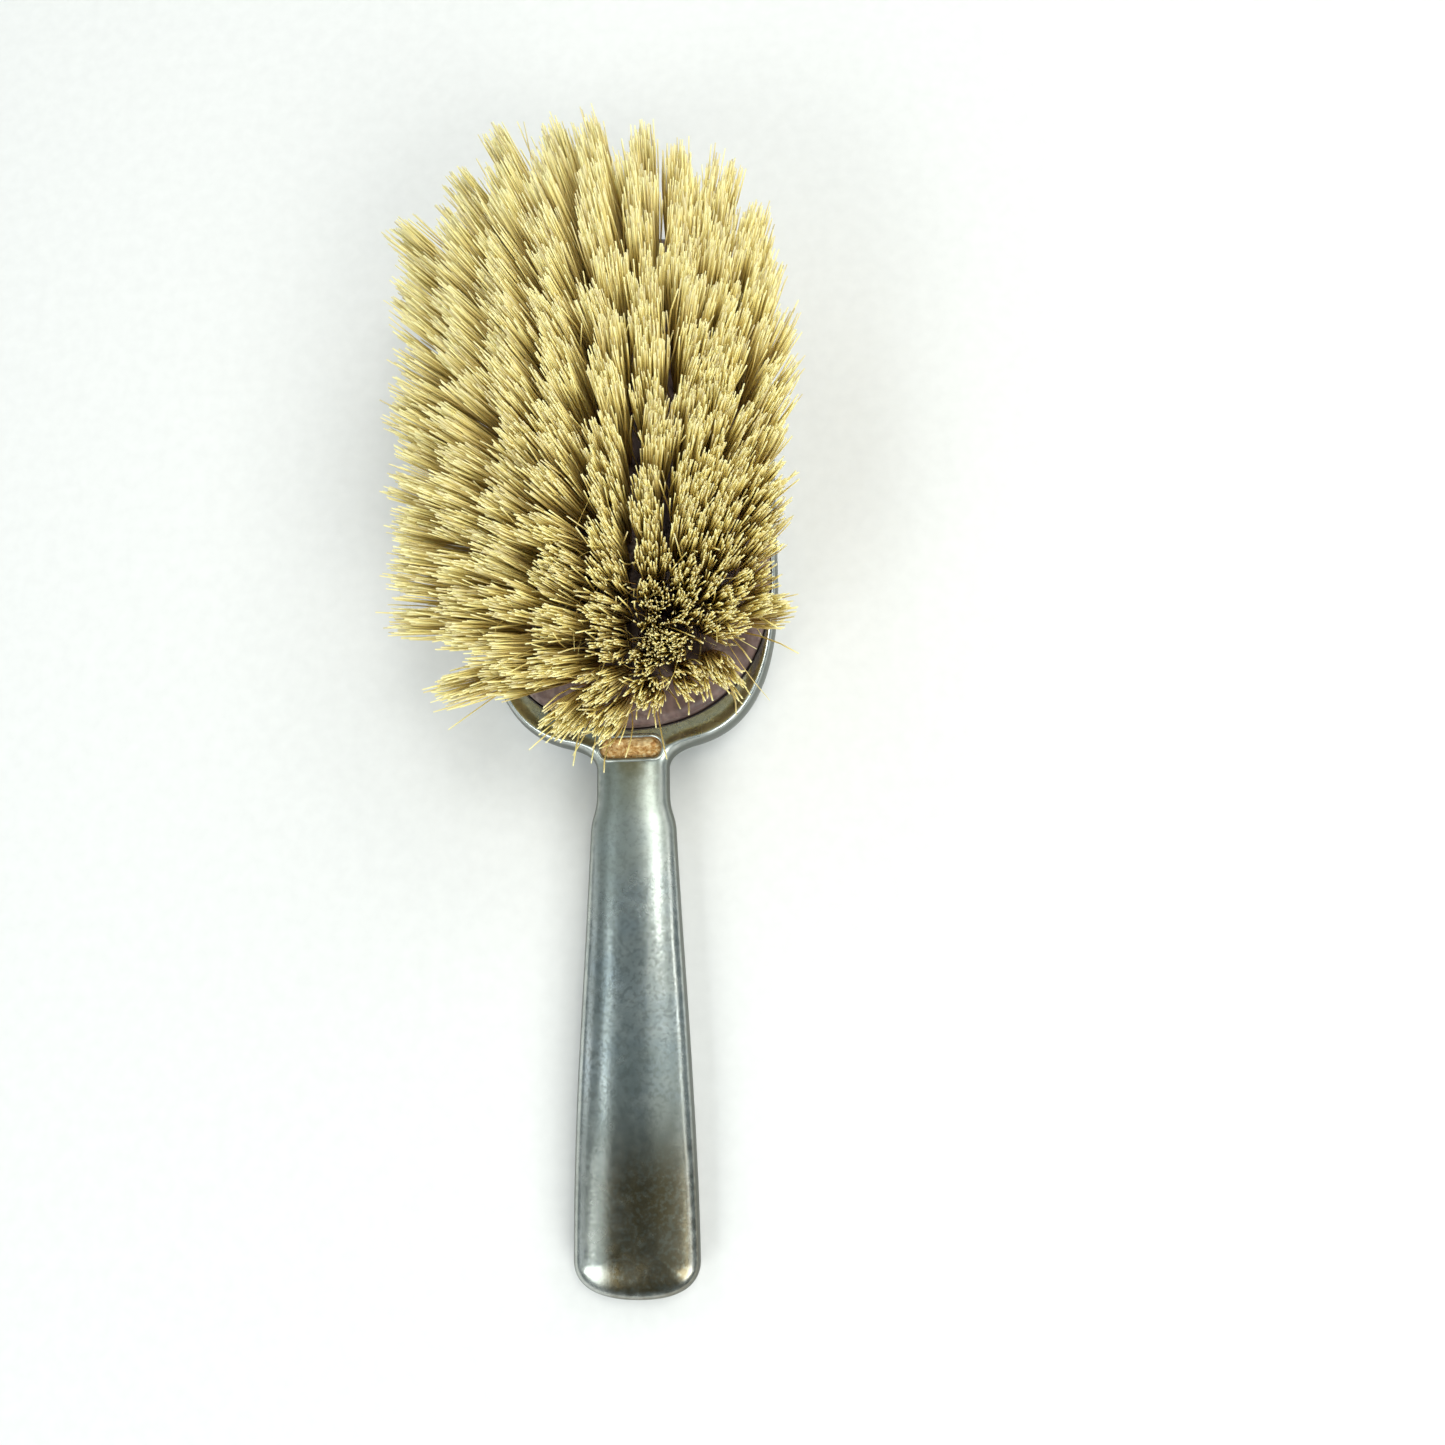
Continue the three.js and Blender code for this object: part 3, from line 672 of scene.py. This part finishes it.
def slot_rim():
    """The thin raised bead round the slot."""
    around, across = slot_outline(0.12), 12
    base = surface_height(around)
    middle = around.mean(0)
    vertices, faces = [], []
    count = len(around)
    for i, (x, y) in enumerate(around):
        out = np.array([x, y]) - np.array([np.clip(x, -SLOT_REACH, SLOT_REACH), middle[1]])
        out /= np.linalg.norm(out)
        bulge = 1 + 0.25 * noise.noise(Vector((x * 0.7, y * 0.7, 3.0)))
        for k in range(across):
            turn = 2 * math.pi * k / across
            vertices.append((
                x + out[0] * 0.42 * bulge * math.cos(turn),
                y + out[1] * 0.42 * bulge * math.cos(turn),
                base[i] + 0.02 + 0.34 * bulge * math.sin(turn),
            ))
    for i in range(count):
        for k in range(across):
            a, b = i * across + k, ((i + 1) % count) * across + k
            a2, b2 = i * across + (k + 1) % across, ((i + 1) % count) * across + (k + 1) % across
            faces.append((a, b, b2, a2))
    piece = make_mesh("slot_rim", vertices, faces, SILVER)
    layer = piece.data.attributes.new("edge", "FLOAT", "POINT")
    layer.data.foreach_set("value", np.full(len(vertices), 0.75, np.float32))


def slot_plug():
    """The crumbly filler that shows in the slot."""
    rings = 20
    outer = slot_outline(-0.05)
    centre = np.stack([np.clip(outer[:, 0], -SLOT_REACH, SLOT_REACH), np.full(len(outer), SLOT_Y)], 1)
    share = np.linspace(0, 1, rings)[None, :, None]
    plan = (outer[:, None, :] + (centre - outer)[:, None, :] * share).reshape(-1, 2)
    base = surface_height(plan)
    depth = np.tile(np.exp(-np.linspace(0, 7, rings)), len(outer)) * 0.7
    points = np.column_stack([plan, base - 0.35 - depth])
    tilt = smooth(plan[:, 0], 2.0, 6.5) * 0.35
    points[:, 2] += wobble(points, 1.1, 0.30, 5) + wobble(points, 0.4, 0.14, 6) - tilt
    count = len(outer)
    faces = []
    for i in range(count):
        for k in range(rings - 1):
            a, b = i * rings + k, ((i + 1) % count) * rings + k
            faces.append((a, b, b + 1, a + 1))
    skirt = np.column_stack([outer, np.full(count, PLUG_FOOT)])
    start = len(points)
    for i in range(count):
        following = (i + 1) % count
        faces.append((start + i, start + following, following * rings, i * rings))
    piece = make_mesh("slot_plug", np.concatenate([points, skirt]), faces, FILLER, ("slot_filler",))
    weld(piece, 0.00001)


def make_silver():
    front_inner = opening_line()
    front = silver_sheet("front_silver", front_inner, front_height, ("front_shell",), True)
    cut_slot(front)
    store_edge(front, OUTLINE, 2.4)
    middle_y = np.clip(OUTLINE[:, 1], GRIP_END + 0.85 * GRIP_HALF, HEAD_END - 24.0)
    back_inner = np.stack([np.zeros(len(OUTLINE)), middle_y], 1)
    back = silver_sheet("back_silver", back_inner, back_height, ("back_shell",), False)
    store_edge(back, OUTLINE, 2.4)
    slot_rim()
    slot_plug()


make_silver()


# ------------------------------------------------------------------ Stock
def stock_face(distance):
    """Height of the stock's face, from the distance to its edge."""
    bevel = np.clip(distance / STOCK_BEVEL, 0, 1)
    rounded = STOCK_EDGE - STOCK_BEVEL * (1 - np.sqrt(1 - (1 - bevel) ** 2))
    short_of_top = 1 - smooth(distance, 0.5, 20.0) * 0.5 - np.clip(distance / 40.0, 0, 0.5)
    dome = STOCK_CROWN * (1 - short_of_top ** 2)
    return rounded + dome


def make_stock():
    outline = stock_outline(0.0, 70)
    middle = np.stack([np.zeros(len(outline)), np.clip(outline[:, 1], STOCK_NEAR + 26, STOCK_FAR - 26)], 1)
    columns = 40
    share = (np.linspace(0, 1, columns) ** 1.8)[None, :, None]
    plan = (outline[:, None, :] + (middle - outline)[:, None, :] * share).reshape(-1, 2)
    distance = distance_to(plan, outline)
    points = np.column_stack([plan, stock_face(distance)])
    points[:, 2] += wobble(points, 6.0, 0.12, 8) + wobble(points, 1.5, 0.04, 9)
    grid = points.reshape(len(outline), columns, 3)
    wall = grid[:, :1].copy()
    wall[:, :, 2] = SEAM_HEAD - 1.0
    grid = np.concatenate([wall, grid], 1)
    vertices, faces = mirrored_grid(len(outline), columns + 1, grid.reshape(-1, 3))
    faces = [face[::-1] for face in faces]
    piece = make_mesh("stock_board", vertices, faces, STOCK_WOOD, ("bristle_stock",))
    weld(piece, 0.00002)


make_stock()

# ------------------------------------------------------------------ Bristles
ROWS = 9
ROW_MARGIN = 6.2  # from the stock's side to the outermost row
ROW_BOW = 0.1  # share of its offset that a row loses at its ends
TUFT_PITCH = 5.8  # between the tufts of a row
TUFT_MARGIN = 4.8  # least distance from a tuft's root to the stock's edge
TUFT_RADIUS = 1.45
SPLAY_ACROSS = 23.0  # degrees, at the outermost row
SPLAY_POWER = 0.8  # below 1, the middle rows splay more than their share
SPLAY_ALONG = 23.0  # degrees, at the ends of the rows
FAR_SPLAY = 7.0  # degrees more at the far end
CORNER_SPLAY = 20.0  # degrees more each way at the far end's left corner
CORNER_LENGTH = 4.0  # millimetres that its bristles are longer
NEAR_SPLAY = 12.0  # degrees more along at the near end's left corner
NEAR_LEFT_SPLAY = 6.0  # degrees more across there
ROUGH = 2.2  # chance part of each tuft's direction, in degrees
NEAR_ROUGH = 1.5  # more of it at the handle's end
NEAR_REACH = 4.5  # degrees more along in the tufts nearest the handle
NEAR_DRAW = 14.0  # degrees less across at the near end's right corner
AHEAD_LEAN = 3.0  # degrees that tufts lean towards the head's end, lost again towards the handle
LEFT_AHEAD = 6.0  # degrees more at the left
LEFT_SPLAY = 15.0  # degrees more across in the leftmost row
RIGHT_DRAW = 3.5  # degrees less across in the rightmost row
LEAN = 0.8  # degrees that every tuft leans to the right
FAR_LEAN = -4.5  # added at the head's end, where the lean is to the left
FAR_WEAR = 0.12  # share of its length that a tuft has lost at the far right corner
TIP_SPREAD = (3.8, 3.4)  # half-width of a tuft at its tips, across and along
MIDDLE_SPREAD = (3.1, 3.3)  # in the middle rows, which leave open lanes between them
MIDDLE_ROWS = (4, 5, 6)
BRISTLES = 110  # in one tuft
BRISTLE_RADIUS = 0.185
LOOSE = 0.55  # how far a tip strays from its even place
CLUMPS = 13  # in one tuft
CLUMPING = 0.6  # share of the way that a tip is drawn to its clump
STRAY_HAIRS = 130  # loose fine hairs at the handle's end
HAIR_X = (-22, 24)  # ranges of their roots' places, in plan
HAIR_Y = (-47, -24)
HAIR_LIFT = (0.5, 14)  # of their roots above the stock
HAIR_LENGTH = (8, 17)
HAIR_RADIUS = (0.06, 0.12)
STRAY_SHARE = 0.03  # share of a tuft's bristles that stick out of it
STRAY_SPREAD = 3.2  # how far their tips stray
NEAR_STRAYS = 2.5  # times more of them, added at the handle's end
SHORT_SHARE = 0.2  # share of a tuft's bristles that are worn short
SHORT_CHANGE = (-7, 0.5)  # range of the change in their length
ROOT_DEPTH = 0.8  # of the bristles below the stock's face
RINGS = 5  # of vertices along each strand
SIDES = 3  # vertices in each ring

FAR_START, FAR_RUN = 10.0, 47.0  # the far end's changes start here, and are full this much further on
LEFT_START, LEFT_RUN = 0.45, 1.2  # the same for the left, as shares of the outermost row's offset
WEAR_START, WEAR_RUN = -10, 30  # the same for the wear, from left to right

MIDDLE = (STOCK_FAR + STOCK_NEAR) / 2
HALF_RUN = (STOCK_FAR - STOCK_NEAR) / 2
OUTER_ROW = STOCK_HALF - ROW_MARGIN
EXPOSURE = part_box("bristle_row_05")[1].z / MM - STOCK_TOP
STOCK_EDGE_LINE = stock_outline(0.0, 40)


def from_stock_edge(x, y):
    return distance_to(np.array([[abs(x), y]]), STOCK_EDGE_LINE)[0]


def row_roots(row):
    """Places of a row's tufts on the stock, in plan."""
    pitch = 2 * OUTER_ROW / (ROWS - 1)
    offset = (row - (ROWS - 1) / 2) * pitch
    stagger = 0 if row % 2 == 0 else TUFT_PITCH / 2
    roots = []
    for step in range(-12, 13):
        y = MIDDLE + step * TUFT_PITCH + stagger
        x = offset * (1 - ROW_BOW * ((y - MIDDLE) / HALF_RUN) ** 2)
        if STOCK_NEAR < y < STOCK_FAR and abs(x) < STOCK_HALF and from_stock_edge(x, y) > TUFT_MARGIN:
            roots.append((x, y))
    return roots


def towards(across, along):
    """Unit vectors that lean by the given angles, in degrees, across and along the brush."""
    across, along = np.broadcast_arrays(np.radians(across), np.radians(along))
    axis = np.stack([np.tan(across), np.tan(along), np.ones(across.shape)], -1)
    return axis / np.linalg.norm(axis, axis=-1, keepdims=True)


def tuft_bristles(x, y, tip_spread, chance):
    """Roots, tips and bend of the bristles in one tuft."""
    far = np.clip((y - FAR_START) / FAR_RUN, 0, 1)
    out, ahead = x / OUTER_ROW, (y - MIDDLE) / HALF_RUN
    near = max(-ahead, 0)
    left = np.clip((LEFT_START - out) / LEFT_RUN, 0, 1)
    across = SPLAY_ACROSS * math.copysign(abs(out) ** SPLAY_POWER, out) + LEAN + FAR_LEAN * far
    across -= LEFT_SPLAY * max(-out, 0) ** 2 + RIGHT_DRAW * max(out, 0) ** 2 + CORNER_SPLAY * left * far
    across -= near * (NEAR_LEFT_SPLAY * left + NEAR_DRAW * max(out, 0) ** 2)
    along = SPLAY_ALONG * ahead + FAR_SPLAY * max(ahead, 0) ** 2 + AHEAD_LEAN + LEFT_AHEAD * left
    along -= AHEAD_LEAN * near ** 2 + NEAR_REACH * near ** 3
    along += CORNER_SPLAY * left * far - NEAR_SPLAY * left * near ** 2
    rough = ROUGH + NEAR_ROUGH * near ** 2
    axis = towards(across + chance.normal(0, rough), along + chance.normal(0, rough))
    side = np.cross([0, 1, 0], axis)
    side /= np.linalg.norm(side)
    forward = np.cross(axis, side)

    share = np.sqrt(chance.uniform(0, 1, BRISTLES))
    turn = chance.uniform(0, 2 * math.pi, BRISTLES)
    disc = share[:, None] * np.stack([np.cos(turn), np.sin(turn)], 1)
    spot = TUFT_RADIUS * disc
    spread = disc * tip_spread * chance.uniform(0.88, 1.15)
    clumps = chance.uniform(-1, 1, (CLUMPS, 2)) * tip_spread * 1.05
    nearest = np.argmin(((spread[:, None] - clumps[None]) ** 2).sum(2), 1)
    spread = mix(spread, clumps[nearest], CLUMPING) + chance.normal(0, 1, (BRISTLES, 2)) * LOOSE
    stray_share = STRAY_SHARE * (1 + NEAR_STRAYS * near)
    stray = (chance.uniform(0, 1, BRISTLES) < stray_share) & (abs(out) < 0.8)
    spread[stray] += chance.normal(0, STRAY_SPREAD, (stray.sum(), 2))

    root_height = stock_face(np.array([from_stock_edge(x, y)]))[0] - ROOT_DEPTH
    wear = 1 - FAR_WEAR * far * np.clip((x - WEAR_START) / WEAR_RUN, 0, 1)
    length = EXPOSURE * wear + ROOT_DEPTH + chance.normal(0, 1.0) + chance.normal(0, 1.5, BRISTLES)
    length += CORNER_LENGTH * left * far * max(-out, 0)
    short = chance.uniform(0, 1, BRISTLES) < SHORT_SHARE
    length += np.where(short, chance.uniform(*SHORT_CHANGE, BRISTLES), 0)
    root = np.array([x, y, root_height])
    roots = root + spot[:, :1] * side + spot[:, 1:] * forward
    tips = root + length[:, None] * axis + spread[:, :1] * side + spread[:, 1:] * forward
    bends = (spot[:, :1] * side + spot[:, 1:] * forward) * 0.7 + chance.normal(0, 0.4, (BRISTLES, 3))
    bends[stray] *= 3
    return roots, tips, bends


def strand_faces():
    """Faces of one strand: the sides of a thin tube, ring by ring, and its blunt end."""
    quads = []
    for level in range(RINGS - 1):
        for k in range(SIDES):
            a, b = level * SIDES + k, level * SIDES + (k + 1) % SIDES
            quads.append((a, b, b + SIDES, a + SIDES))
    end = [(RINGS - 1) * SIDES + k for k in range(SIDES)]
    return np.array(quads), np.array([end])


def strand_uvs(kind):
    """UVs of every strand: across by its kind, in a strip of real width, and up by its length."""
    count = len(kind)
    column = np.array([[k, k + 1, k + 1, k] for _ in range(RINGS - 1) for k in range(SIDES)]) / SIDES
    level = np.array([[r, r, r + 1, r + 1] for r in range(RINGS - 1) for _ in range(SIDES)]) / (RINGS - 1)
    across = (kind[:, None, None] + 0.15 + 0.7 * column[None]) / STRAND_KINDS
    up = np.broadcast_to(level[None], across.shape)
    end_across = (kind[:, None] + 0.15 + 0.7 * np.array([[0, 0.5, 1.0]])) / STRAND_KINDS
    end_up = np.broadcast_to(np.array([[0.985, 1.0, 0.985]]), (count, SIDES))
    sides = np.stack([across.ravel(), up.ravel()], 1)
    ends = np.stack([end_across.ravel(), end_up.ravel()], 1)
    return np.concatenate([sides, ends])


STRAND_TAPER = np.array([1.0, 1.0, 0.98, 0.94, 0.84])  # width at each ring, as a share of the root's


def strand_mesh(name, roots, tips, bends, chance, radius):
    """One mesh of thin blunt strands, each bent a little between its root and its tip."""
    count = len(roots)
    t = np.linspace(0, 1, RINGS)
    spine = (roots[:, None] * (1 - t)[None, :, None] + tips[:, None] * t[None, :, None]
             + bends[:, None] * (t * (1 - t) * 2.0)[None, :, None])
    axis = tips - roots
    axis /= np.linalg.norm(axis, axis=1)[:, None]
    side = np.cross(axis, chance.normal(0, 1, (count, 3)))
    side /= np.linalg.norm(side, axis=1)[:, None]
    other = np.cross(axis, side)
    width = radius[:, None] * STRAND_TAPER[None, :]
    turn = 2 * math.pi * np.arange(SIDES) / SIDES
    ring = np.cos(turn)[None, :, None] * side[:, None] + np.sin(turn)[None, :, None] * other[:, None]
    vertices = (spine[:, :, None] + ring[:, None] * width[:, :, None, None]).reshape(-1, 3)

    quads, end = strand_faces()
    starts = (np.arange(count) * RINGS * SIDES)[:, None, None]
    side_faces = (starts + quads[None]).reshape(-1, 4)
    end_faces = (starts + end[None]).reshape(-1, SIDES)
    loops = np.concatenate([side_faces.ravel(), end_faces.ravel()])
    sizes = np.concatenate([np.full(len(side_faces), 4), np.full(len(end_faces), SIDES)])
    mesh = bpy.data.meshes.new(name)
    mesh.vertices.add(len(vertices))
    mesh.vertices.foreach_set("co", (vertices * MM).ravel())
    mesh.loops.add(len(loops))
    mesh.loops.foreach_set("vertex_index", loops)
    mesh.polygons.add(len(sizes))
    mesh.polygons.foreach_set("loop_start", np.concatenate([[0], np.cumsum(sizes)[:-1]]))
    mesh.update(calc_edges=True)
    layer = mesh.uv_layers.new(name=STRAND_MAP)
    layer.data.foreach_set("uv", strand_uvs(chance.integers(0, STRAND_KINDS, count)).ravel())
    mesh.materials.append(BRISTLE)
    mesh.shade_smooth()
    piece = bpy.data.objects.new(name, mesh)
    bpy.context.scene.collection.objects.link(piece)
    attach(piece, BODY)
    return piece


def make_bristles():
    for row in range(ROWS):
        chance = np.random.default_rng(100 + row)
        spread = np.array(MIDDLE_SPREAD if row in MIDDLE_ROWS else TIP_SPREAD)
        tufts = [tuft_bristles(x, y, spread, chance) for x, y in row_roots(row)]
        roots, tips, bends = (np.concatenate(group) for group in zip(*tufts))
        radius = BRISTLE_RADIUS * chance.uniform(0.85, 1.15, len(roots))
        piece = strand_mesh(f"tufts_{row + 1:02d}", roots, tips, bends, chance, radius)
        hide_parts(f"bristle_row_{row + 1:02d}")


def make_stray_hairs():
    """Fine loose hairs that curl out of the tufts at the handle's end."""
    chance = np.random.default_rng(41)
    x = chance.uniform(*HAIR_X, STRAY_HAIRS)
    y = chance.uniform(*HAIR_Y, STRAY_HAIRS) + np.abs(x) * 0.25
    foot = [stock_face(np.array([from_stock_edge(*spot)]))[0] for spot in zip(x, y)]
    roots = np.column_stack([x, y, foot])
    roots[:, 2] += chance.uniform(*HAIR_LIFT, STRAY_HAIRS)
    lean = np.column_stack([x * 0.03, np.full(STRAY_HAIRS, -0.75), np.full(STRAY_HAIRS, 0.55)])
    lean += chance.normal(0, 0.5, (STRAY_HAIRS, 3))
    lean /= np.linalg.norm(lean, axis=1)[:, None]
    tips = roots + lean * chance.uniform(*HAIR_LENGTH, STRAY_HAIRS)[:, None]
    tips[:, 2] = np.maximum(tips[:, 2], STOCK_TOP + 1.5)
    bends = chance.normal(0, 3.5, (STRAY_HAIRS, 3))
    bends[:, 2] = np.abs(bends[:, 2])
    radius = chance.uniform(*HAIR_RADIUS, STRAY_HAIRS)
    strand_mesh("stray_hairs", roots, tips, bends, chance, radius)


make_bristles()
make_stray_hairs()


# ------------------------------------------------------------------ Hidden pieces
def dress_hidden_nodes():
    finishes = {
        "handle_filler": plain_material("pitch_fill", (0.36, 0.2, 0.07), 0.6, 0.0, 200),
        "handle_rod": plain_material("rod_iron", (0.16, 0.15, 0.14), 0.5, 1.0, 400),
        "head_bedding": plain_material("bedding_cement", (0.5, 0.46, 0.4), 0.8, 0.0, 300),
        "stock_backing": wood_material("backing_board", (0.26, 0.16, 0.09), (0.45, 0.3, 0.18),
                                       (0.5, 0.4, 0.3)),
    }
    wire = plain_material("wire_brass", (0.6, 0.46, 0.2), 0.4, 1.0, 900)
    for row in range(ROWS):
        finishes[f"draw_wire_{row + 1:02d}"] = wire
    for node, material in finishes.items():
        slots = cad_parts[node].material_slots
        for slot in slots:
            slot.material = material


dress_hidden_nodes()


# ------------------------------------------------------------------ Floor and light
def make_floor():
    half = 1.5
    mesh = bpy.data.meshes.new("floor")
    corners = [(-half, -half, 0), (half, -half, 0), (half, half, 0), (-half, half, 0)]
    mesh.from_pydata(corners, [], [(0, 1, 2, 3)])
    floor = bpy.data.objects.new("floor", mesh)
    floor.location.z = -0.0002
    bpy.context.scene.collection.objects.link(floor)
    material, nodes, links, shader = new_material("floor_paper")
    speck = add_noise(nodes, links, 300, 3)
    links.new(add_ramp(nodes, links, speck, [(0.3, (0.70, 0.70, 0.69)), (0.7, (0.73, 0.73, 0.72))]),
              shader.inputs["Base Color"])
    shader.inputs["Roughness"].default_value = 0.9
    mesh.materials.append(material)


def add_light(name, place, size, radiance, colour, target):
    """A soft rectangular light of a given brightness, turned towards a point."""
    data = bpy.data.lights.new(name, "AREA")
    data.shape = "RECTANGLE"
    data.size, data.size_y = size
    data.energy = math.pi * size[0] * size[1] * radiance
    data.color = colour
    light = bpy.data.objects.new(name, data)
    light.location = place
    light.rotation_euler = (Vector(target) - Vector(place)).to_track_quat("-Z", "Y").to_euler()
    light.visible_camera = False
    bpy.context.scene.collection.objects.link(light)


def make_lights():
    handle, head = (0, -0.3, 0), (0, 0, 0)
    for side, name, far, near in ((-1, "left", 1.6, 5.5), (1, "right", 3.2, 7.0)):
        add_light(f"far_{name}", (0.75 * side, 0.80, 0.75), (0.7, 0.7), far, (1.0, 0.99, 0.95), head)
        add_light(f"near_{name}", (0.70 * side, -0.95, 0.75), (0.7, 0.6), near, (0.98, 1.0, 0.98), head)
    add_light("window_left", (-0.46, -0.3, 0.80), (1.5, 0.11), 1.7, (0.88, 0.97, 1.0), handle)
    add_light("room_left", (-1.1, -0.2, 0.5), (1.2, 0.4), 0.7, (0.95, 0.98, 1.0), handle)
    add_light("ceiling_right", (0.42, -0.3, 0.8), (0.78, 1.6), 0.42, (0.95, 1.0, 0.93), (0.42, -0.3, 0))
    add_light("room_right", (1.0, -0.2, 0.75), (1.2, 0.15), 2.5, (1.0, 1.0, 0.95), handle)
    add_light("over_head", (0.28, 0.24, 0.95), (0.5, 0.35), 7.4, (1.0, 1.0, 0.96), head)
    world = bpy.data.worlds.new("studio")
    bpy.context.scene.world = world
    world.use_nodes = True
    back = world.node_tree.nodes["Background"]
    back.inputs["Color"].default_value = (0.78, 0.95, 1.0, 1)
    back.inputs["Strength"].default_value = 0.24
    bpy.context.scene.view_settings.view_transform = "Standard"


make_floor()
make_lights()
